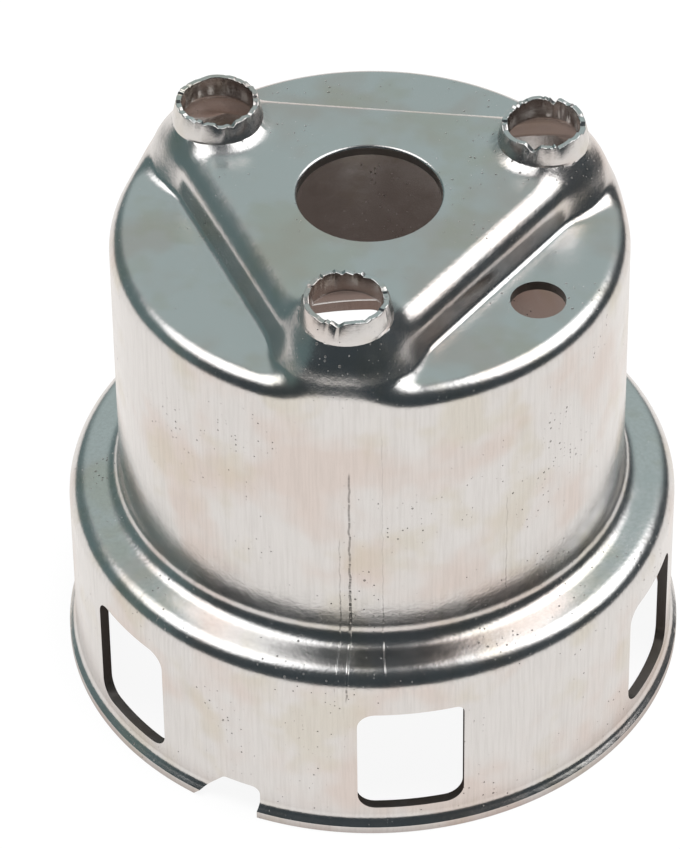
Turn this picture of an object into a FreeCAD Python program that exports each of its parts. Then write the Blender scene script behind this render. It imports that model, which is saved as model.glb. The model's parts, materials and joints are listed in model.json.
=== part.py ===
import FreeCAD, Part
import math
import os
import Sketcher

# Starter cup: one deep-drawn sheet-steel shell, open at the bottom.
# Frame: +Z up along the cup's axis, origin on that axis in the plane of the open rim.
# Lengths are millimetres. Turns are degrees about +Z, counted from the front (-Y).

doc = FreeCAD.newDocument("StarterCup")

SIZES = {
    "gauge": 1.3,               # sheet thickness
    "cup_radius": 32.5,         # outside of the upper cup
    "floor_height": 67.3,       # top face of the three lowered flats
    "crown_round": 2.6,         # outside round from the flats into the upper wall
    "platform_rise": 5.3,       # platform above the lowered flats
    "step_draft": 15,           # lean of the steps from upright
    "corner_draft": 5,          # lean of the platform's three corners from upright
    "corner_inset": 0.05,       # corners inside the upper wall, where they leave it
    "corner_round": 3.3,        # upright round between a step and a corner
    "step_round": 2.8,          # outside round along the top of the platform
    "step_root": 0.7,           # hollow round at the foot of the steps
    "ledge_height": 27.4,       # ledge, where it meets the upper wall
    "ledge_fall": 1.0,          # drop of the ledge over its width
    "ledge_root": 2.5,          # hollow round between upper wall and ledge
    "ledge_round": 2.9,         # outside round between ledge and skirt
    "skirt_radius": 39.2,       # outside of the skirt
    "lip_reach": 0.95,          # lip beyond the skirt
    "lip_height": 1.15,         # upright trimmed edge of the lip
    "flare_rise": 0.8,          # height over which the skirt turns out into the lip
    "flare_round": 1.5,         # hollow round between skirt and lip
    "centre_hole": 18.0,        # diameter
    "flange_setback": 8.8,      # outside of the upper cup to the middle of each flanged hole
    "flange_margin": 7.75,      # middle of a flanged hole to the foot of the steps beside it
    "flange_bore": 9.0,         # diameter
    "flange_rise": 3.7,         # rim above the platform
    "flange_tip": 0.72,         # wall at the rim
    "flange_foot": 1.3,         # wall at the platform
    "flange_mouth": 1.2,        # round of the sheet into the bore, on the inside
    "locating_hole": 6.9,       # diameter
    "locating_setback": 7.4,    # outside of the upper cup to the middle of the locating hole
    "locating_turn": 62,
    "window_count": 6,
    "window_turn": 13.8,
    "window_width": 13.6,
    "window_height": 16.6,
    "window_sill": 3.8,         # lower edge of the windows above the rim
    "window_corner": 2.3,
    "notch_turn": -21.8,
    "notch_base": 9.4,          # width of the notch at the rim
    "notch_slant": 4.3,         # sideways run of its slanted end
    "notch_height": 4.6,
    "notch_corner": 0.9,
}

CORNERS = 3                     # platform corners, each with one flanged hole

sheet = doc.addObject("Spreadsheet::Sheet", "Sizes")
for row, (alias, value) in enumerate(SIZES.items(), start=1):
    sheet.set(f"A{row}", alias)
    sheet.set(f"B{row}", str(value))
    sheet.setAlias(f"B{row}", alias)
doc.recompute()

body = doc.addObject("PartDesign::Body", "Cup")
body.Label = "starter_cup"


def size(alias):
    """Value of one driving size."""
    return float(sheet.get(alias))


def origin_item(role):
    """The body's own origin plane or axis of that role."""
    return next(item for item in body.Origin.OriginFeatures if item.Role == role)


def new_sketch(name, role, height=None, turn=None):
    """Sketch on an origin plane, raised along its normal or turned about the cup's axis."""
    sketch = body.newObject("Sketcher::SketchObject", name)
    sketch.AttachmentSupport = [(origin_item(role), "")]
    sketch.MapMode = "FlatFace"
    if height:
        sketch.setExpression("AttachmentOffset.Base.z", height)
    if turn:
        upright = FreeCAD.Vector(0, 1, 0)
        sketch.AttachmentOffset = FreeCAD.Placement(FreeCAD.Vector(), FreeCAD.Rotation(upright, 1))
        sketch.setExpression("AttachmentOffset.Rotation.Angle", turn)
    return sketch


def bind(sketch, kind, where, expression, start=1.0):
    """Dimension whose value comes from the sizes."""
    index = sketch.addConstraint(Sketcher.Constraint(kind, *where, start))
    sketch.setExpression(f"Constraints[{index}]", expression)


def draw_outline(sketch, corners):
    """Closed outline of straight edges. A corner is (across, up) or (across, up, round)."""
    count = len(corners)
    spots = [
        FreeCAD.Vector(math.cos(2 * math.pi * k / count), math.sin(2 * math.pi * k / count))
        for k in range(count)
    ]
    lines = [Part.LineSegment(spots[k], spots[(k + 1) % count]) for k in range(count)]
    edges = sketch.addGeometry(lines, False)
    for k in range(count):
        join = Sketcher.Constraint("Coincident", edges[k - 1], 2, edges[k], 1)
        sketch.addConstraint(join)
    for edge, corner in zip(edges, corners):
        for kind, expression, axis in (("DistanceX", corner[0], -2), ("DistanceY", corner[1], -1)):
            if expression == "0":
                sketch.addConstraint(Sketcher.Constraint("PointOnObject", edge, 1, axis))
            else:
                bind(sketch, kind, (-1, 1, edge, 1), expression)
    doc.recompute()
    for edge, corner in zip(edges, corners):
        if len(corner) == 3:
            sketch.fillet(edge, 1, 0.1, True, True)
            arc = max(i for i, item in enumerate(sketch.Geometry) if isinstance(item, Part.ArcOfCircle))
            bind(sketch, "Radius", (arc,), corner[2], 0.1)
    doc.recompute()


def feature(kind, name, profile, **settings):
    """PartDesign feature made from a sketch and set up."""
    item = body.newObject("PartDesign::" + kind, name)
    item.Profile = profile
    for key, value in settings.items():
        setattr(item, key, value)
    profile.Visibility = False
    doc.recompute()
    return item


# --- Drawn form: wall, ledge, skirt and lip, turned about the cup's axis ---

ledge_width = "(Sizes.skirt_radius - Sizes.cup_radius)"
ledge_root = f"min(Sizes.ledge_root; 0.45 * {ledge_width})"
ledge_round = f"min(Sizes.ledge_round; 0.5 * {ledge_width})"

meridian = new_sketch("Meridian", "XZ_Plane")
draw_outline(meridian, [
    ("0", "0"),
    ("Sizes.skirt_radius + Sizes.lip_reach", "0"),
    ("Sizes.skirt_radius + Sizes.lip_reach", "Sizes.lip_height"),
    ("Sizes.skirt_radius", "Sizes.lip_height + Sizes.flare_rise", "Sizes.flare_round"),
    ("Sizes.skirt_radius", "Sizes.ledge_height - Sizes.ledge_fall", ledge_round),
    ("Sizes.cup_radius", "Sizes.ledge_height", ledge_root),
    ("Sizes.cup_radius", "Sizes.floor_height", "Sizes.crown_round"),
    ("0", "Sizes.floor_height"),
])
feature("Revolution", "DrawnForm", meridian, ReferenceAxis=(meridian, ["V_Axis"]), Angle=360)


# --- Platform: raised three-cornered top, with its steps and rounded corners ---

flange_reach = "(Sizes.cup_radius - Sizes.flange_setback)"
step_reach = f"({flange_reach} * cos(180 / {CORNERS}) + Sizes.flange_margin)"


def platform_section(name, height, reach, corner):
    """Straight sides joined by arcs about the cup's axis, with one corner at the front."""
    sketch = new_sketch(name, "XY_Plane", height=height)
    centre = FreeCAD.Vector()
    side_reach = ((size("cup_radius") - size("flange_setback")) * math.cos(math.pi / CORNERS)
                  + size("flange_margin"))
    corner_reach = size("cup_radius")
    half = math.acos(side_reach / corner_reach)
    pitch = 2 * math.pi / CORNERS
    for k in range(CORNERS):
        facing = (k + 0.5) * pitch - math.pi / 2
        ends = [
            FreeCAD.Vector(math.cos(facing + swing), math.sin(facing + swing)) * corner_reach
            for swing in (-half, half)
        ]
        side = sketch.addGeometry(Part.LineSegment(*ends), False)
        circle = Part.Circle(centre, FreeCAD.Vector(0, 0, 1), corner_reach)
        arc = sketch.addGeometry(
            Part.ArcOfCircle(circle, facing + half, facing + pitch - half), False)
        sketch.addConstraint(Sketcher.Constraint("Coincident", side, 2, arc, 1))
        sketch.addConstraint(Sketcher.Constraint("Coincident", arc, 3, -1, 1))
        bind(sketch, "Radius", (arc,), corner, corner_reach)
        bind(sketch, "Distance", (-1, 1, side), reach, side_reach)
        across = (k + 0.5) * pitch
        sketch.addConstraint(Sketcher.Constraint("Angle", side, across))
    for k in range(CORNERS):
        arc_before = 2 * ((k - 1) % CORNERS) + 1
        sketch.addConstraint(Sketcher.Constraint("Coincident", arc_before, 2, 2 * k, 1))
    doc.recompute()
    return sketch


def platform_block(kind, name, foot, top, skin):
    """Drafted block between two levels, each side set in by an expression times the sheet."""
    sections = []
    for level, where in (("Foot", foot), ("Top", top)):
        climb = f"({where} - Sizes.floor_height)"
        reach = (f"{step_reach} - {climb} * tan(Sizes.step_draft)"
                 f" - {skin} / cos(Sizes.step_draft)")
        corner = (f"Sizes.cup_radius - Sizes.corner_inset"
                  f" - ({climb} + 2 * Sizes.crown_round) * tan(Sizes.corner_draft)"
                  f" - {skin} / cos(Sizes.corner_draft)")
        sections.append(platform_section(name + level, where, reach, corner))
    block = feature(kind, name, sections[0], Sections=[sections[1]], Ruled=True)
    sections[1].Visibility = False
    return block


def middle_of(edge):
    """Point halfway along an edge."""
    return edge.valueAt((edge.FirstParameter + edge.LastParameter) / 2)


def round_edges(name, wanted, radius, since=None):
    """Fillet on the edges that pass the test and that the shape `since` did not have."""
    base = body.Tip
    old = [middle_of(edge) for edge in since.Edges] if since else []
    names = []
    for number, edge in enumerate(base.Shape.Edges, start=1):
        middle = middle_of(edge)
        if wanted(edge, middle) and all(middle.distanceToPoint(spot) > 0.01 for spot in old):
            names.append(f"Edge{number}")
    item = body.newObject("PartDesign::Fillet", name)
    item.Base = (base, names)
    item.setExpression("Radius", radius)
    doc.recompute()
    return item


def is_upright(edge):
    """Whether an edge climbs more than it goes sideways."""
    low, high = edge.Vertexes[0].Point, edge.Vertexes[-1].Point
    rise = abs(high.z - low.z)
    return rise > math.hypot(high.x - low.x, high.y - low.y)


def is_spline(edge):
    """Whether an edge is a free curve."""
    return isinstance(edge.Curve, Part.BSplineCurve)


outer_top = "(Sizes.floor_height + Sizes.platform_rise)"
platform_block("AdditiveLoft", "Platform",
               "(Sizes.floor_height - 2 * Sizes.crown_round)", outer_top, "0")
floor_level = size("floor_height")
foot_level = floor_level - size("crown_round")
top_level = floor_level + size("platform_rise")
round_edges("CornerRounds",
            lambda edge, middle: is_upright(edge) and middle.z > floor_level,
            "Sizes.corner_round")
round_edges("StepRounds",
            lambda edge, middle: abs(middle.z - top_level) < 0.001,
            "Sizes.step_round")
round_edges("StepRoots",
            lambda edge, middle: is_spline(edge) and foot_level < middle.z < floor_level + 0.01,
            "Sizes.step_root")


# --- Hollow side: the same form again, one sheet thickness inside ---

flare_tilt = "atan(Sizes.lip_reach / Sizes.flare_rise)"
flare_inner = f"(Sizes.lip_height + Sizes.flare_rise - Sizes.gauge * tan({flare_tilt} / 2))"
ledge_tilt = f"atan(Sizes.ledge_fall / {ledge_width})"
ledge_shift = f"Sizes.gauge * tan(45 deg - {ledge_tilt} / 2)"
wall_inner = "Sizes.cup_radius - Sizes.gauge"
skirt_inner = "Sizes.skirt_radius - Sizes.gauge"
floor_inner = "(Sizes.floor_height - Sizes.gauge)"
cavity = new_sketch("Cavity", "XZ_Plane")
draw_outline(cavity, [
    ("0", "0"),
    (f"{skirt_inner} + {flare_inner} * Sizes.lip_reach / Sizes.flare_rise", "0"),
    (skirt_inner, flare_inner, "Sizes.flare_round + Sizes.gauge"),
    (skirt_inner, f"Sizes.ledge_height - Sizes.ledge_fall - {ledge_shift}",
     f"max({ledge_round} - Sizes.gauge; Sizes.gauge / 10)"),
    (wall_inner, f"Sizes.ledge_height - {ledge_shift}", f"{ledge_root} + Sizes.gauge"),
    (wall_inner, floor_inner, "Sizes.crown_round - Sizes.gauge"),
    ("0", floor_inner),
])
feature("Groove", "DrawnHollow", cavity, ReferenceAxis=(cavity, ["V_Axis"]), Angle=360)
inner_top = f"({outer_top} - Sizes.gauge)"
outside = body.Tip.Shape
platform_block("SubtractiveLoft", "PlatformHollow",
               "(Sizes.floor_height - 2 * Sizes.crown_round)", inner_top, "Sizes.gauge")
inner_floor = floor_level - size("gauge")
inner_ceiling = top_level - size("gauge")
round_edges("InnerCornerRounds",
            lambda edge, middle: is_upright(edge) and middle.z > inner_floor,
            "Sizes.corner_round - Sizes.gauge", outside)
round_edges("InnerStepRounds",
            lambda edge, middle: abs(middle.z - inner_ceiling) < 0.001,
            "Sizes.step_round - Sizes.gauge", outside)
round_edges("InnerStepRoots",
            lambda edge, middle: is_spline(edge) and foot_level - 1 < middle.z < inner_floor + 0.01,
            "Sizes.step_root + Sizes.gauge", outside)


# --- Flanged holes: one neck drawn up out of each corner of the platform ---

def cut_circle(name, height, across, up, diameter):
    """Round hole down through one sheet."""
    sketch = new_sketch(name + "Outline", "XY_Plane", height=height)
    flat = FreeCAD.Vector(0, 0, 1)
    ring = sketch.addGeometry(Part.Circle(FreeCAD.Vector(1, 1, 0), flat, 1), False)
    for kind, expression, axis in (("DistanceX", across, -2), ("DistanceY", up, -1)):
        if expression == "0":
            sketch.addConstraint(Sketcher.Constraint("PointOnObject", ring, 3, axis))
        else:
            bind(sketch, kind, (-1, 1, ring, 3), expression)
    bind(sketch, "Diameter", (ring,), diameter)
    hole = feature("Pocket", name, sketch, Type="Length")
    hole.setExpression("Length", "Sizes.flange_rise + 2 * Sizes.gauge")
    doc.recompute()
    return hole


def repeat(name, originals, count):
    """The same features again, evenly spaced about the cup's axis."""
    pattern = body.newObject("PartDesign::PolarPattern", name)
    pattern.Originals = originals
    pattern.Axis = (origin_item("Z_Axis"), [""])
    pattern.Angle = 360
    body.Tip = pattern
    pattern.setExpression("Occurrences", count)
    doc.recompute()
    return pattern


bore_radius = "Sizes.flange_bore / 2"
rim_level = f"({outer_top} + Sizes.flange_rise)"
neck = new_sketch("Neck", "XZ_Plane", height=flange_reach)
draw_outline(neck, [
    ("0", f"{outer_top} - Sizes.gauge / 2"),
    (f"{bore_radius} + Sizes.flange_foot", f"{outer_top} - Sizes.gauge / 2"),
    (f"{bore_radius} + Sizes.flange_foot", outer_top),
    (f"{bore_radius} + Sizes.flange_tip", rim_level),
    ("0", rim_level),
])
neck_form = feature("Revolution", "FlangeNeck", neck, ReferenceAxis=(neck, ["V_Axis"]), Angle=360)
neck_bore = cut_circle("FlangeBore", rim_level, "0", f"-{flange_reach}", "Sizes.flange_bore")
repeat("FlangedHoles", [neck_form, neck_bore], str(CORNERS))
round_edges("FlangeMouths",
            lambda edge, middle: isinstance(edge.Curve, Part.Circle)
            and abs(middle.z - inner_ceiling) < 0.001
            and abs(edge.Curve.Radius - size("flange_bore") / 2) < 0.001,
            "Sizes.flange_mouth")


# --- Plain holes ---

locating_reach = "(Sizes.cup_radius - Sizes.locating_setback)"
cut_circle("CentreHole", outer_top, "0", "0", "Sizes.centre_hole")
cut_circle("LocatingHole", "Sizes.floor_height",
           f"{locating_reach} * sin(Sizes.locating_turn)",
           f"-{locating_reach} * cos(Sizes.locating_turn)",
           "Sizes.locating_hole")


# --- Windows and notch, punched through the skirt ---

def punch(name, turn, corners):
    """Opening through the near side of the skirt only."""
    sketch = new_sketch(name + "Outline", "XZ_Plane", turn=turn)
    draw_outline(sketch, corners)
    opening = feature("Pocket", name, sketch, Type="Length", Reversed=True)
    opening.setExpression("Length", "Sizes.skirt_radius + 2 * Sizes.lip_reach")
    doc.recompute()
    return opening


window_head = "Sizes.window_sill + Sizes.window_height"
window = punch("Window", "Sizes.window_turn", [
    ("-Sizes.window_width / 2", "Sizes.window_sill", "Sizes.window_corner"),
    ("Sizes.window_width / 2", "Sizes.window_sill", "Sizes.window_corner"),
    ("Sizes.window_width / 2", window_head, "Sizes.window_corner"),
    ("-Sizes.window_width / 2", window_head, "Sizes.window_corner"),
])
repeat("Windows", [window], "Sizes.window_count")
punch("Notch", "Sizes.notch_turn", [
    ("-Sizes.notch_base / 2", "0"),
    ("Sizes.notch_base / 2", "0"),
    ("Sizes.notch_base / 2", "Sizes.notch_height", "Sizes.notch_corner"),
    ("-Sizes.notch_base / 2 + Sizes.notch_slant", "Sizes.notch_height", "Sizes.notch_corner"),
])


# --- Checks and hand-over ---

body.Placement = FreeCAD.Placement()
doc.recompute()
for item in doc.Objects:
    if "Invalid" in item.State or "Error" in item.State:
        raise RuntimeError(f"{item.Name} did not build")
    if hasattr(item, "Shape") and (item.Shape.isNull() or not item.Shape.isValid()):
        raise RuntimeError(f"{item.Name} has a faulty shape")
if len(body.Shape.Solids) != 1:
    raise RuntimeError("the cup is not one solid")

os.makedirs("parts", exist_ok=True)
body.Shape.exportStep("parts/starter_cup.step")
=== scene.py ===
import json
import math

import bmesh
import bpy
import numpy as np
from mathutils import Matrix, Vector


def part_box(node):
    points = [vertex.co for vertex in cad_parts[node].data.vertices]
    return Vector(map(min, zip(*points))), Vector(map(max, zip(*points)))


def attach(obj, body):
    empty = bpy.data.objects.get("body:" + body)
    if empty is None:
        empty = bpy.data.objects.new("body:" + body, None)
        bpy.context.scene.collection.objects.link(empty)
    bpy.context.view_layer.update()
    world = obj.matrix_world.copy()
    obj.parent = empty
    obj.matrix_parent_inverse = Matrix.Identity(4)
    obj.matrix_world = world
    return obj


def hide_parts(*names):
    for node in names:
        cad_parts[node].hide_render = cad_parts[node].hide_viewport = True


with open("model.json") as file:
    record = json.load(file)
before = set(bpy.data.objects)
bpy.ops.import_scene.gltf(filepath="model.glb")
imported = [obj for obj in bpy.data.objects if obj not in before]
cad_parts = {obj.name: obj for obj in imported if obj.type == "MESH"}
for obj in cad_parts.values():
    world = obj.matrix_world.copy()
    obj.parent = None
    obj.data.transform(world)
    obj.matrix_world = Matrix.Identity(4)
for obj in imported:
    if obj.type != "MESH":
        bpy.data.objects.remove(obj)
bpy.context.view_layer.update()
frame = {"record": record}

# --- Drawn shell -------------------------------------------------------------------
# One sheet of 1.3 mm mild steel, deep drawn in several strokes: crown, upper wall, ledge
# and skirt. The lip is pinch-trimmed. The section of the sheet is spun about the axis.

scene = bpy.context.scene
mm = 0.001                      # metres; sizes below are in millimetres
gauge = 1.3
cup_radius = 32.5
floor_height = 67.3
crown_round = 2.6
ledge_height = 27.4
ledge_fall = 1.0
skirt_radius = 39.2
flare_height = 1.95
lip_height = 1.15
mounts = {mount["name"]: mount for mount in frame["record"]["mounts"]}
top_height = mounts["platform_face"]["pos_m"][2] / mm
hole_radius = mounts["centre_hole"]["dims"]["r_mm"]
bolt_reach = mounts["flange_bolts"]["dims"]["pcd_mm"] / 2
bore_radius = mounts["flange_bolts"]["dims"]["hole_r_mm"]
bolt_turns = [math.radians(120 * k - 90) for k in range(3)]
lip_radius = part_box("starter_cup")[1].x / mm


def rounded(corners, arc_steps=9):
    """Points of an open outline. A corner is (across, up) or (across, up, round)."""
    points = [Vector(corners[0][:2])]
    for before, corner, after in zip(corners, corners[1:], corners[2:]):
        here = Vector(corner[:2])
        if len(corner) == 2:
            points.append(here)
            continue
        back = (Vector(before[:2]) - here).normalized()
        ahead = (Vector(after[:2]) - here).normalized()
        half = back.angle(ahead) / 2
        centre = here + (back + ahead).normalized() * corner[2] / math.sin(half)
        start = here + back * corner[2] / math.tan(half) - centre
        sweep = math.pi - 2 * half
        if back.cross(ahead) > 0:
            sweep = -sweep
        for k in range(arc_steps + 1):
            points.append(centre + Matrix.Rotation(sweep * k / arc_steps, 2) @ start)
    points.append(Vector(corners[-1][:2]))
    return points


middle = 50.0                   # height of the point that the top's surface is seen from


def hole_start(level, skin):
    """Radius on the flat blank that lands on the hole's edge once the platform is raised."""
    return hole_radius * (floor_height - skin - middle) / (level - skin - middle)


hole_roll = 0.4                 # the punch draws the edge of the hole down
outside = rounded([
    (hole_start(top_height, 0) + hole_roll, floor_height),
    (cup_radius, floor_height, crown_round),
    (cup_radius, ledge_height, 2.5),
    (skirt_radius, ledge_height - ledge_fall, 2.9),
    (skirt_radius, flare_height, 1.5),
    (lip_radius, lip_height, 0.12),
    (lip_radius, 0, 0.2),
    (lip_radius - 0.5, 0),
])
inside = rounded([
    (lip_radius - 0.5, 0),
    (skirt_radius - gauge, flare_height - 0.6, 2.8),
    (skirt_radius - gauge, ledge_height - ledge_fall - 1.1, 1.6),
    (cup_radius - gauge, ledge_height - 1.1, 3.8),
    (cup_radius - gauge, floor_height - gauge, crown_round - gauge),
    (hole_start(top_height, gauge), floor_height - gauge),
])

shell = bmesh.new()
skin = shell.verts.layers.float.new("skin")
ring = []
rolled = []
for k in range(6, 0, -1):
    lean = math.radians(15 * k)
    drop = hole_roll * (1 - math.cos(lean))
    across = hole_start(top_height, 0) + hole_roll * (1 - math.sin(lean))
    rolled.append((Vector((across, floor_height - drop)), drop))
for point, depth in (rolled + [(point, 0.0) for point in outside]
                     + [(point, gauge) for point in inside[1:]]):
    vert = shell.verts.new((point.x, 0, point.y))
    vert[skin] = depth
    ring.append(vert)
for k, vert in enumerate(ring):
    shell.edges.new((ring[k - 1], vert))
for edge in list(shell.edges):
    a, b = edge.verts
    finest = 0.45 if min(a.co.z, b.co.z) > 60 and max(a.co.x, b.co.x) > 20 else 1.6
    cuts = int((a.co - b.co).length / finest)
    if cuts:
        bmesh.ops.subdivide_edges(shell, edges=[edge], cuts=cuts)
bmesh.ops.spin(shell, geom=shell.verts[:] + shell.edges[:], cent=(0, 0, 0), axis=(0, 0, 1),
               angle=2 * math.pi, steps=240, use_merge=True)
bmesh.ops.recalc_face_normals(shell, faces=shell.faces)

# The platform: a three-cornered top pressed up 5.3 mm, with steep steps between it and the
# three lowered flats. The mesh is cut along each step first, so its rounds follow the step.

step_reach = 19.6
step_lean = math.radians(15)
step_round = 2.8
step_root = 0.7
step_turns = [turn + math.radians(60) for turn in bolt_turns]
neck_foot = 5.73                # radius and height of the crease round each drawn neck
neck_crease = 73.1
tip_reach = 28.7                # past this the platform's tips keep their width
shoulder_reach = 29.6           # start of the slope from each tip down to the wall
shoulder_lean = math.radians(60)


def cut_steps(depth):
    """Cuts through one skin of the top, along the section of each step."""
    foot = step_reach - depth / math.cos(step_lean)
    rise = top_height - floor_height
    section = rounded([
        (foot + 3.5, floor_height - depth),
        (foot, floor_height - depth, step_root + depth),
        (foot - rise * math.tan(step_lean), top_height - depth, step_round - depth),
        (foot - 9, top_height - depth),
    ], arc_steps=7)
    faces = [face for face in shell.faces
             if all(vert.co.z > 60 and abs(vert[skin] - depth) < 0.01 for vert in face.verts)]
    part = set(faces)
    for face in faces:
        part.update(face.edges)
        part.update(face.verts)
    part = list(part)
    for turn in step_turns:
        along = Vector((-math.sin(turn), math.cos(turn), 0))
        for point in section:
            reach = Vector((math.cos(turn) * point.x, math.sin(turn) * point.x, point.y - middle))
            made = bmesh.ops.bisect_plane(shell, geom=part, dist=1e-4,
                                          plane_co=(0, 0, middle), plane_no=reach.cross(along))
            part = made["geom"]


cut_steps(0.0)
cut_steps(gauge)


def meet(gaps, round_over):
    """Rounded corner where surfaces meet and cut each other off."""
    over = [gap + round_over for gap in gaps]
    nearest = np.minimum(np.max(over, axis=0), 0)
    return nearest + np.sqrt(sum(np.maximum(gap, 0) ** 2 for gap in over)) - round_over


def join(one, other, root):
    """Hollow round where two bodies run into each other."""
    under = np.sqrt(np.maximum(root - one, 0) ** 2 + np.maximum(root - other, 0) ** 2)
    return np.maximum(np.minimum(one, other), root) - under


def mound(spread):
    """Gentle rise of the sheet towards a drawn neck."""
    return 0.5 * np.clip((9.2 - spread) / 3.5, 0, 1.3) ** 2.2


def past(value, spread):
    """How far a value passes zero, with a gradual start."""
    return (value + np.sqrt(value * value + spread * spread)) / 2


def outer_gap(x, y, z):
    """Distance from the outer skin of the top, negative inside the metal."""
    reach = np.hypot(x, y)
    level = top_height
    overrun = 0
    collars = []
    for turn in bolt_turns:
        spread = np.hypot(x - bolt_reach * math.cos(turn), y - bolt_reach * math.sin(turn))
        level = level + mound(spread)
        overrun = overrun + past(x * math.cos(turn) + y * math.sin(turn) - tip_reach, 0.8)
        cone = (z - neck_crease) * 0.53 + (spread - neck_foot) * 0.85
        collars.append(np.maximum(cone, z - neck_crease - 0.15))
    steps = []
    for turn in step_turns:
        beyond = x * math.cos(turn) + y * math.sin(turn) - step_reach - overrun / 2
        steps.append(beyond * math.cos(step_lean) + (z - floor_height) * math.sin(step_lean))
    shoulder = ((reach - shoulder_reach) * math.sin(shoulder_lean)
                + (z - neck_crease + 0.1) * math.cos(shoulder_lean))
    platform = meet([np.max(steps, axis=0), z - level, shoulder], step_round)
    platform = join(platform, np.min(collars, axis=0), 1.0)
    root = step_root + 1.1 * np.clip((reach - 28) / 4, 0, 1)
    top = join(z - floor_height, platform, root)
    return meet([top, reach - cup_radius], crown_round)


def press_top():
    """Moves the top's vertices out from the middle onto the pressed surface."""
    verts = [vert for vert in shell.verts if vert.co.z > 60]
    place = np.array([vert.co for vert in verts])
    depth = np.array([vert[skin] for vert in verts])
    ray = place - (0, 0, middle)
    ray /= np.linalg.norm(ray, axis=1)[:, None]
    near = np.full(len(verts), 5.0)
    far = np.full(len(verts), 60.0)
    for _ in range(32):
        half = (near + far) / 2
        point = ray * half[:, None] + (0, 0, middle)
        beyond = outer_gap(*point.T) > -depth
        far = np.where(beyond, half, far)
        near = np.where(beyond, near, half)
    place = ray * ((near + far) / 2)[:, None] + (0, 0, middle)
    for vert, point in zip(verts, place):
        vert.co = point


press_top()
bmesh.ops.remove_doubles(shell, verts=shell.verts, dist=0.012)


def hand_over(bm, name):
    """New object from a bmesh in millimetres."""
    bmesh.ops.scale(bm, vec=(mm, mm, mm), verts=bm.verts)
    mesh = bpy.data.meshes.new(name)
    bm.to_mesh(mesh)
    bm.free()
    made = bpy.data.objects.new(name, mesh)
    scene.collection.objects.link(made)
    return made


cup = hand_over(shell, "drawn_cup")

# --- Openings ----------------------------------------------------------------------
# Bolt holes, the locating hole, six windows for the starter's pawls and a notch in the lip,
# all sheared straight through the sheet by punches.

tools = bmesh.new()


def round_punch(x, y, radius, low, high, sides=72):
    """Round cutter, upright."""
    made = bmesh.ops.create_cone(tools, cap_ends=True, segments=sides, radius1=radius,
                                 radius2=radius, depth=high - low)
    bmesh.ops.translate(tools, verts=made["verts"], vec=(x, y, (low + high) / 2))


def shaped_punch(turn, corners, arc_steps=8):
    """Cutter with a rounded outline, through the skirt on one side."""
    outline = rounded(corners + corners[:2], arc_steps)[1:-1]
    face = tools.faces.new([tools.verts.new((point.x, -30, point.y)) for point in outline])
    made = bmesh.ops.extrude_face_region(tools, geom=[face])["geom"]
    grown = [item for item in made if isinstance(item, bmesh.types.BMVert)]
    bmesh.ops.translate(tools, verts=grown, vec=(0, -16, 0))
    bmesh.ops.rotate(tools, verts=list(face.verts) + grown, cent=(0, 0, 0),
                     matrix=Matrix.Rotation(math.radians(turn), 3, "Z"))


for turn in bolt_turns:
    round_punch(bolt_reach * math.cos(turn), bolt_reach * math.sin(turn), neck_foot - 0.4, 60, 80)
spot = mounts["locating_hole"]["pos_m"]
round_punch(spot[0] / mm, spot[1] / mm, mounts["locating_hole"]["dims"]["r_mm"], 60, 75, 64)
window_turn = 13.8              # degrees from the front
window_width = 13.6
window_sill = 3.8
window_head = 20.4
for k in range(6):
    half = window_width / 2
    shaped_punch(window_turn + 60 * k, [
        (-half, window_sill, 2.3), (half, window_sill, 2.3),
        (half, window_head, 1.1 if k == 0 else 2.3), (-half, window_head, 2.3),
    ])
shaped_punch(-21.8, [           # the notch in the lip
    (-5.6, -1, 0.1), (4.7, -1, 0.1), (4.7, 4.6, 1.1), (-0.4, 4.6, 0.9),
])
bmesh.ops.recalc_face_normals(tools, faces=tools.faces)
punches = hand_over(tools, "punches")


def boolean(target, tool, operation):
    """Applies one boolean and drops the tool."""
    modifier = target.modifiers.new("cut", "BOOLEAN")
    modifier.operation = operation
    modifier.solver = "EXACT"
    modifier.object = tool
    made = target.evaluated_get(bpy.context.evaluated_depsgraph_get())
    mesh = bpy.data.meshes.new_from_object(made)
    target.modifiers.clear()
    target.data = mesh
    bpy.data.objects.remove(tool)


boolean(cup, punches, "DIFFERENCE")

# --- Necks -------------------------------------------------------------------------
# Each bolt hole is pierced and then drawn up into a short neck, which thins the sheet and
# tears its rim.

necks = bmesh.new()
rim_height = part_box("starter_cup")[1].z / mm
chance = np.random.default_rng(5)
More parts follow.
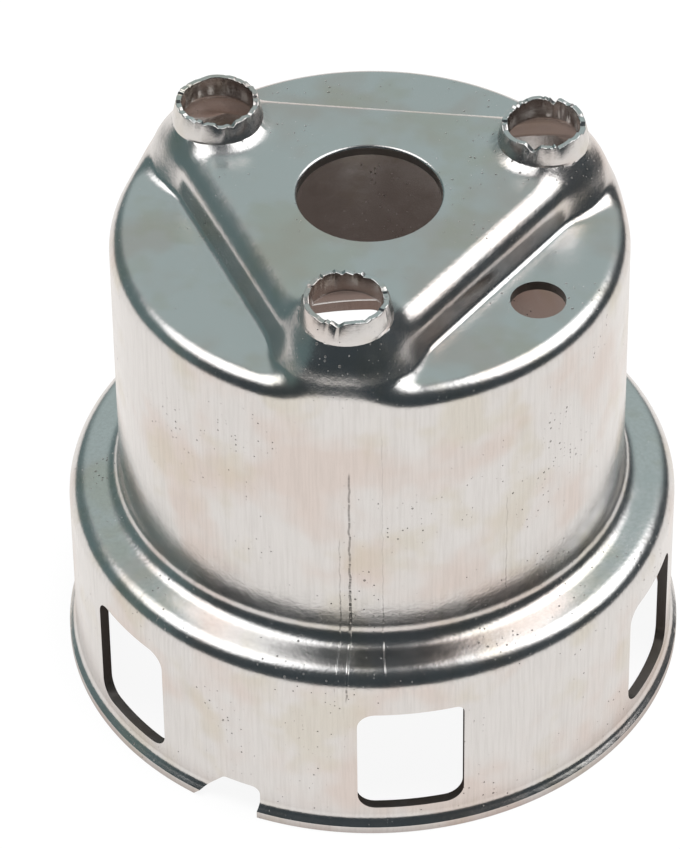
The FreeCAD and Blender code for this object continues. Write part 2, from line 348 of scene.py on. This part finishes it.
# Larger tears of each rim, as (angle in degrees, half width, depth).
splits = [[(-95, 0.7, 0.5)], [(80, 0.5, 0.9), (-100, 0.9, 1.0)], [(-60, 0.6, 0.5)]]
tear_count = 74
torn_band = 2.4                 # the tearing fades out this far below the rim
for number, turn in enumerate(bolt_turns):
    section = rounded([
        (neck_foot - 0.2, neck_crease - 0.65), (neck_foot, neck_crease - 0.65, 0.1),
        (neck_foot, neck_crease + 0.5, 1.0), (bore_radius + 0.68, rim_height, 0.15),
        (bore_radius, rim_height, 0.12), (bore_radius, neck_crease - 0.65, 0.9),
        (neck_foot - 0.2, neck_crease - 0.65),
    ], arc_steps=4)[:-1]
    row = [necks.verts.new((point.x, 0, point.y)) for point in section]
    wires = [necks.edges.new((row[k - 1], vert)) for k, vert in enumerate(row)]
    made = bmesh.ops.spin(necks, geom=row + wires, cent=(0, 0, 0), axis=(0, 0, 1),
                          angle=2 * math.pi, steps=150, use_merge=True)
    placed = set(row)
    reached = list(row)
    while reached:
        for edge in reached.pop().link_edges:
            for vert in edge.verts:
                if vert not in placed:
                    placed.add(vert)
                    reached.append(vert)
    tears = np.sort(chance.uniform(0, 2 * math.pi, tear_count))
    depths = 0.05 + 0.42 * chance.uniform(0, 1, tear_count) ** 2.2
    bulge = chance.normal(0, 0.05, tear_count)
    for vert in placed:
        high = min(max((vert.co.z - rim_height + torn_band) / torn_band, 0), 1)
        angle = math.atan2(vert.co.y, vert.co.x) % (2 * math.pi)
        torn = np.interp(angle, tears, depths, period=2 * math.pi)
        for place, width, depth in splits[number]:
            off = abs((angle - math.radians(place) + math.pi) % (2 * math.pi) - math.pi)
            torn += depth * max(1 - off * bore_radius / width, 0)
        wave = 0.10 * math.sin(2 * angle + 1.7 * number) + 0.07 * math.sin(5 * angle + number)
        lean = np.interp(angle, tears, bulge, period=2 * math.pi) * high ** 3
        spread = 1 + (0.1 * wave * high + lean) / bore_radius
        vert.co = Vector((vert.co.x * spread, vert.co.y * spread,
                          vert.co.z - (torn + 0.17 + wave) * high ** 2))
    bmesh.ops.translate(necks, verts=list(placed),
                        vec=(bolt_reach * math.cos(turn), bolt_reach * math.sin(turn), 0))
bmesh.ops.recalc_face_normals(necks, faces=necks.faces)
boolean(cup, hand_over(necks, "necks"), "UNION")

for polygon in cup.data.polygons:
    polygon.use_smooth = True
cup.data.set_sharp_from_angle(angle=math.radians(32))
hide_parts("starter_cup")
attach(cup, "root")


# --- Finish ------------------------------------------------------------------------
# Bright zinc plate over drawn steel. It is a clear metallic coat, blotched by handling, with
# fine draw lines up the walls, pits and dark specks, and a deep scratch down the front.

def add(tree, kind, inputs, out=0, **settings):
    """Adds a node with its settings, links or fills its inputs, and gives one output."""
    made = tree.nodes.new("ShaderNode" + kind)
    for key, value in settings.items():
        setattr(made, key, value)
    for key, value in (inputs if isinstance(inputs, dict) else dict(enumerate(inputs))).items():
        if isinstance(value, bpy.types.NodeSocket):
            tree.links.new(value, made.inputs[key])
        else:
            made.inputs[key].default_value = value
    return made.outputs[out]


def linear(code):
    """Linear colour from an sRGB hex value."""
    parts = [int(code[k:k + 2], 16) / 255 for k in (1, 3, 5)]
    return tuple(((p + 0.055) / 1.055) ** 2.4 if p > 0.04045 else p / 12.92 for p in parts) + (1,)


SOFT = {"interpolation_type": "SMOOTHSTEP"}
COLOUR = {"data_type": "RGBA", "out": 2}
TIMES = {"operation": "MULTIPLY"}
LESS = {"operation": "SUBTRACT"}
TIMES_PLUS = {"operation": "MULTIPLY_ADD"}
MOST = {"operation": "MAXIMUM"}

zinc = bpy.data.materials.new("bright_zinc")
zinc.use_nodes = True
tree = zinc.node_tree
bsdf = tree.nodes["Principled BSDF"]
point = add(tree, "TexCoord", [], "Object")
place = add(tree, "VectorMath", {0: point, "Scale": 1 / mm}, operation="SCALE")  # in mm
parts = add(tree, "SeparateXYZ", [place]).node.outputs
x, y, z = parts
drawn = add(tree, "VectorMath", [place, (1.0, 1.0, 0.05)], operation="MULTIPLY")
shifted = add(tree, "VectorMath", [place, (31.0, 17.0, 5.0)], operation="ADD")
angle = add(tree, "Math", [y, x], operation="ARCTAN2")
flat = add(tree, "CombineXYZ", {"X": x, "Y": y})
reach = add(tree, "VectorMath", [flat], "Value", operation="LENGTH")

# Blotches 8 to 20 mm across, pinkish, straw and cool by turns, as thin zinc and
# handling leave them.
cloud = add(tree, "TexNoise", {"Vector": place, "Scale": 0.075, "Detail": 3.0})
warm = add(tree, "MapRange", [cloud, 0.46, 0.66], **SOFT)
cloud = add(tree, "TexNoise", {"Vector": shifted, "Scale": 0.11, "Detail": 3.0})
straw = add(tree, "MapRange", [cloud, 0.50, 0.68], **SOFT)
amount = add(tree, "Math", [warm, 0.45], **TIMES)
colour = add(tree, "Mix", {0: amount, 6: linear("#dbdad9"), 7: linear("#d3bfb4")}, **COLOUR)
amount = add(tree, "Math", [straw, 0.35], **TIMES)
colour = add(tree, "Mix", {0: amount, 6: colour, 7: linear("#cbc3ab")}, **COLOUR)

# Draw lines a few tenths of a millimetre apart that run up the walls.
lines = add(tree, "TexNoise", {"Vector": drawn, "Scale": 2.6, "Detail": 3.0, "Roughness": 0.6})
upright = add(tree, "MapRange", [reach, 31.0, 32.2], **SOFT)
faint = add(tree, "MapRange", [lines, 0.35, 0.75, -0.5, 0.5], **SOFT)
faint = add(tree, "Math", [faint, upright], **TIMES)
amount = add(tree, "Math", [faint, 0.12, 0.06], **TIMES_PLUS)
colour = add(tree, "Mix", {0: amount, 6: colour, 7: linear("#8d8781")}, **COLOUR)

# Dark specks and pits, 0.15 to 0.4 mm, thick in some places and rare in others.
cloud = add(tree, "TexNoise", {"Vector": shifted, "Scale": 0.10, "Detail": 4.0, "Roughness": 0.6})
crowd = add(tree, "MapRange", [cloud, 0.44, 0.66], **SOFT)
cells = add(tree, "TexVoronoi", {"Vector": place, "Scale": 1.7}).node
lot = add(tree, "SeparateXYZ", [cells.outputs["Color"]])
size = add(tree, "Math", [lot, 3.0], operation="POWER")
size = add(tree, "Math", [size, 0.30], **TIMES)
crowd = add(tree, "Math", [crowd, 0.85, 0.15], **TIMES_PLUS)
size = add(tree, "Math", [size, crowd], **TIMES)
off = add(tree, "Math", [cells.outputs["Distance"], size], **LESS)
off = add(tree, "MapRange", [off, -0.02, 0.05], **SOFT)
speck = add(tree, "Math", [1.0, off], **LESS)
amount = add(tree, "Math", [speck, 0.5], **TIMES)
colour = add(tree, "Mix", {0: amount, 6: colour, 7: linear("#3c3733")}, **COLOUR)

# Scratches up the front: angle in degrees, lower and upper end, half width and strength.
# They wander a little and skip in places.
slow = add(tree, "Math", [z, 0.3], **TIMES)
cloud = add(tree, "TexNoise", {"Vector": slow, "Scale": 1.0, "Detail": 1.0})
wander = add(tree, "Math", [cloud, 0.5, -0.25], **TIMES_PLUS)
cloud = add(tree, "TexNoise", {"Vector": z, "Scale": 1.3, "Detail": 2.0})
patchy = add(tree, "MapRange", [cloud, 0.30, 0.55, 0.35, 1.0], **SOFT)
scored = None
for turn, low, high, width, strength in ((-88.0, 23.0, 55.0, 0.20, 1.0),
                                         (-90.2, 24.0, 44.0, 0.12, 0.45),
                                         (-80.8, 26.0, 61.0, 0.10, 0.30),
                                         (-52.2, 28.0, 47.0, 0.12, 0.35)):
    across = add(tree, "Math", [angle, math.radians(turn)], **LESS)
    across = add(tree, "Math", [across, reach], **TIMES)
    across = add(tree, "Math", [across, wander], operation="ADD")
    across = add(tree, "Math", [across], operation="ABSOLUTE")
    groove = add(tree, "MapRange", [across, width, width * 0.3], **SOFT)
    bottom = add(tree, "MapRange", [z, low - 1, low + 1], **SOFT)
    top = add(tree, "MapRange", [z, high + 0.5, high - 0.5], **SOFT)
    ends = add(tree, "Math", [bottom, top], **TIMES)
    groove = add(tree, "Math", [groove, ends], **TIMES)
    weight = add(tree, "Math", [patchy, strength], **TIMES)
    groove = add(tree, "Math", [groove, weight], **TIMES)
    scored = add(tree, "Math", [scored, groove], **MOST) if scored else groove
normal = add(tree, "NewGeometry", [], "Normal")
rise = add(tree, "SeparateXYZ", [normal], "Z")
on_wall = add(tree, "MapRange", [rise, 0.5, 0.2], **SOFT)
dull = add(tree, "Math", [on_wall, 0.5, 0.1], **TIMES_PLUS)
dull = add(tree, "Math", [scored, dull], **TIMES)
colour = add(tree, "Mix", {0: dull, 6: colour, 7: linear("#4b4844")}, **COLOUR)

# Sheared faces of the punched openings are bare, dark and dull.
sheared = add(tree, "Attribute", [], "Fac", attribute_name="sheared")
amount = add(tree, "Math", [sheared, 0.75], **TIMES)
colour = add(tree, "Mix", {0: amount, 6: colour, 7: linear("#5d5a56")}, **COLOUR)
tree.links.new(colour, bsdf.inputs["Base Color"])
bsdf.inputs["Metallic"].default_value = 1.0
cloud = add(tree, "TexNoise", {"Vector": shifted, "Scale": 0.35, "Detail": 4.0, "Roughness": 0.6})
gloss = add(tree, "Math", [cloud, 0.16, 0.14], **TIMES_PLUS)
gloss = add(tree, "Math", [sheared, 0.25, gloss], **TIMES_PLUS)
gloss = add(tree, "Math", [speck, 0.25, gloss], **TIMES_PLUS)
tree.links.new(gloss, bsdf.inputs["Roughness"])

# Relief in millimetres: grain of the drawn sheet, draw lines, slight waves left by the
# press, pits and scratches.
grain = add(tree, "TexNoise", {"Vector": place, "Scale": 2.2, "Detail": 3.0, "Roughness": 0.6})
grain = add(tree, "Math", [grain, 0.016], **TIMES)
height = add(tree, "Math", [upright, 0.004], **TIMES)
relief = add(tree, "Math", [lines, height, grain], **TIMES_PLUS)
waves = add(tree, "TexNoise", {"Vector": place, "Scale": 0.22, "Detail": 2.0})
relief = add(tree, "Math", [waves, 0.06, relief], **TIMES_PLUS)
relief = add(tree, "Math", [speck, -0.03, relief], **TIMES_PLUS)
relief = add(tree, "Math", [scored, -0.06, relief], **TIMES_PLUS)
bump = add(tree, "Bump", {"Strength": 1.0, "Distance": mm, "Height": relief})
tree.links.new(bump, bsdf.inputs["Normal"])
cup.data.materials.clear()
cup.data.materials.append(zinc)

cut = []
for polygon in cup.data.polygons:
    centre = polygon.center / mm
    radial = math.hypot(centre.x, centre.y)
    facing = abs(polygon.normal.x * centre.x + polygon.normal.y * centre.y) / radial
    through_skirt = radial > 37.9 and centre.z < 20.5 and facing < 0.4 and radial < 39.4
    hole = math.hypot(centre.x - spot[0] / mm, centre.y - spot[1] / mm) < 3.5
    hole = (hole or radial < 9.1) and abs(polygon.normal.z) < 0.35
    cut.append(1.0 if through_skirt or hole else 0.0)
cup.data.attributes.new("sheared", "FLOAT", "FACE").data.foreach_set("value", cut)

# --- Stage -------------------------------------------------------------------------
# White paper on a table, in a dim studio with a pale wall behind, a greyer one on the left
# and a softbox high on each side. In reflections the paper under the cup carries painted
# shade, warm-tinted and lighter towards the back, and the paper around it a painted pool of
# light that fades with distance.

table = bmesh.new()
bmesh.ops.create_grid(table, x_segments=1, y_segments=1, size=2000)
floor = hand_over(table, "floor")
paper = bpy.data.materials.new("white_paper")
paper.use_nodes = True
tree = paper.node_tree
tree.nodes.clear()
place = add(tree, "TexCoord", [], "Object")
away = add(tree, "VectorMath", [place], "Value", operation="LENGTH")
path = add(tree, "LightPath", []).node.outputs
depth = add(tree, "SeparateXYZ", [place], "Y")
# Painted shade: reflections see the paper under the cup dim, lighter towards the back as painted
# light from the rear windows.
inner = add(tree, "MapRange", [depth, -0.005, 0.020, 0.12, 0.42], **SOFT)
# The cup's footprint: inside it the reflected paper takes the painted shade.
outer = add(tree, "MapRange", [away, 0.036, 0.043], **SOFT)
painted_light_and_shade = add(tree, "Math", [outer, inner], **MOST)
# Painted pool of light: the paper seen in reflections dims away from the cup.
painted_light_falloff = add(tree, "MapRange", [away, 0.30, 1.0, 1.0, 0.45], **SOFT)
painted_light_and_shade = add(tree, "Math", [painted_light_and_shade, painted_light_falloff], **TIMES)
painted_light_and_shade = add(tree, "Math", [painted_light_and_shade, path["Is Glossy Ray"]], **TIMES)
strength = add(tree, "Math", [path["Is Camera Ray"], painted_light_and_shade], **MOST)
strength = add(tree, "Math", [strength, path["Is Transmission Ray"]], **MOST)
seen = add(tree, "Math", [path["Is Camera Ray"], path["Is Glossy Ray"]], **MOST)
seen = add(tree, "Math", [seen, path["Is Transmission Ray"]], **MOST)
seen = add(tree, "Math", [seen, 0.92], **TIMES)
plain = add(tree, "BsdfDiffuse", {"Color": linear("#efefee")})
# Warm tint of the painted shade under the cup in reflections; camera rays see plain white.
glow_colour_with_painted_shade = add(tree, "Mix", {0: outer, 6: linear("#e0c4b8"), 7: linear("#fdf8f4")}, **COLOUR)
glow_colour_with_painted_shade = add(tree, "Mix", {0: path["Is Camera Ray"], 6: glow_colour_with_painted_shade, 7: (1, 1, 1, 1)}, **COLOUR)
glow = add(tree, "Emission", {"Color": glow_colour_with_painted_shade, "Strength": strength})
mixed = add(tree, "MixShader", [seen, plain, glow])
tree.links.new(mixed, tree.nodes.new("ShaderNodeOutputMaterial").inputs["Surface"])
floor.data.materials.append(paper)

world = bpy.data.worlds.new("studio")
world.use_nodes = True
tree = world.node_tree
tree.nodes.clear()
way = add(tree, "TexCoord", [], "Generated")
light = linear("#3f464a")
# Round areas with soft edges: azimuth, elevation, inner and outer radius in degrees, colour.
for azimuth, elevation, inner, outer, shade in (
        (97, 30, 22, 48, linear("#b0bfbf")),        # wall behind
        (165, 5, 25, 50, linear("#66797a")),        # wall on the left
        (178, 62, 16, 27, (2.0, 2.0, 2.0, 1)),      # softbox, left
        (22, 54, 18, 29, (2.3, 2.3, 2.3, 1))):      # softbox, right
    a, e = math.radians(azimuth), math.radians(elevation)
    centre = (math.cos(a) * math.cos(e), math.sin(a) * math.cos(e), math.sin(e))
    lined = add(tree, "VectorMath", [way, centre], "Value", operation="DOT_PRODUCT")
    edges = [math.cos(math.radians(outer)), math.cos(math.radians(inner))]
    amount = add(tree, "MapRange", [lined] + edges, **SOFT)
    light = add(tree, "Mix", {0: amount, 6: light, 7: shade}, **COLOUR)
back = add(tree, "Background", {"Color": light, "Strength": 1.0})
tree.links.new(back, tree.nodes.new("ShaderNodeOutputWorld").inputs["Surface"])
scene.world = world

lamp_data = bpy.data.lights.new("overhead", "AREA")
lamp_data.size = 0.6
lamp_data.energy = 13
lamp = bpy.data.objects.new("overhead", lamp_data)
lamp.location = (0.1, -0.1, 1.0)
lamp.visible_glossy = False
scene.collection.objects.link(lamp)

# --- Camera ------------------------------------------------------------------------
# A long lens, 0.7 m away and 42 degrees up, with a very slight roll.

azimuth = math.radians(-82.6)
elevation = math.radians(42.281)
roll = math.radians(0.814)
distance = 0.7002
aim_point = Vector((-0.00399, -0.00052, 0.03394))
aim = -Vector((math.cos(azimuth) * math.cos(elevation), math.sin(azimuth) * math.cos(elevation),
               math.sin(elevation)))
right = aim.cross(Vector((0, 0, 1))).normalized()
turned = Matrix.Rotation(roll, 3, aim) @ right
above = turned.cross(aim)
lens = bpy.data.cameras.new("camera")
lens.sensor_fit = "HORIZONTAL"
lens.sensor_width = 36
lens.lens = 288.6
camera = bpy.data.objects.new("camera", lens)
camera.matrix_world = (Matrix.Translation(aim_point - aim * distance)
                       @ Matrix((turned, above, -aim)).transposed().to_4x4())
scene.collection.objects.link(camera)
scene.camera = camera
scene.view_settings.view_transform = "Standard"
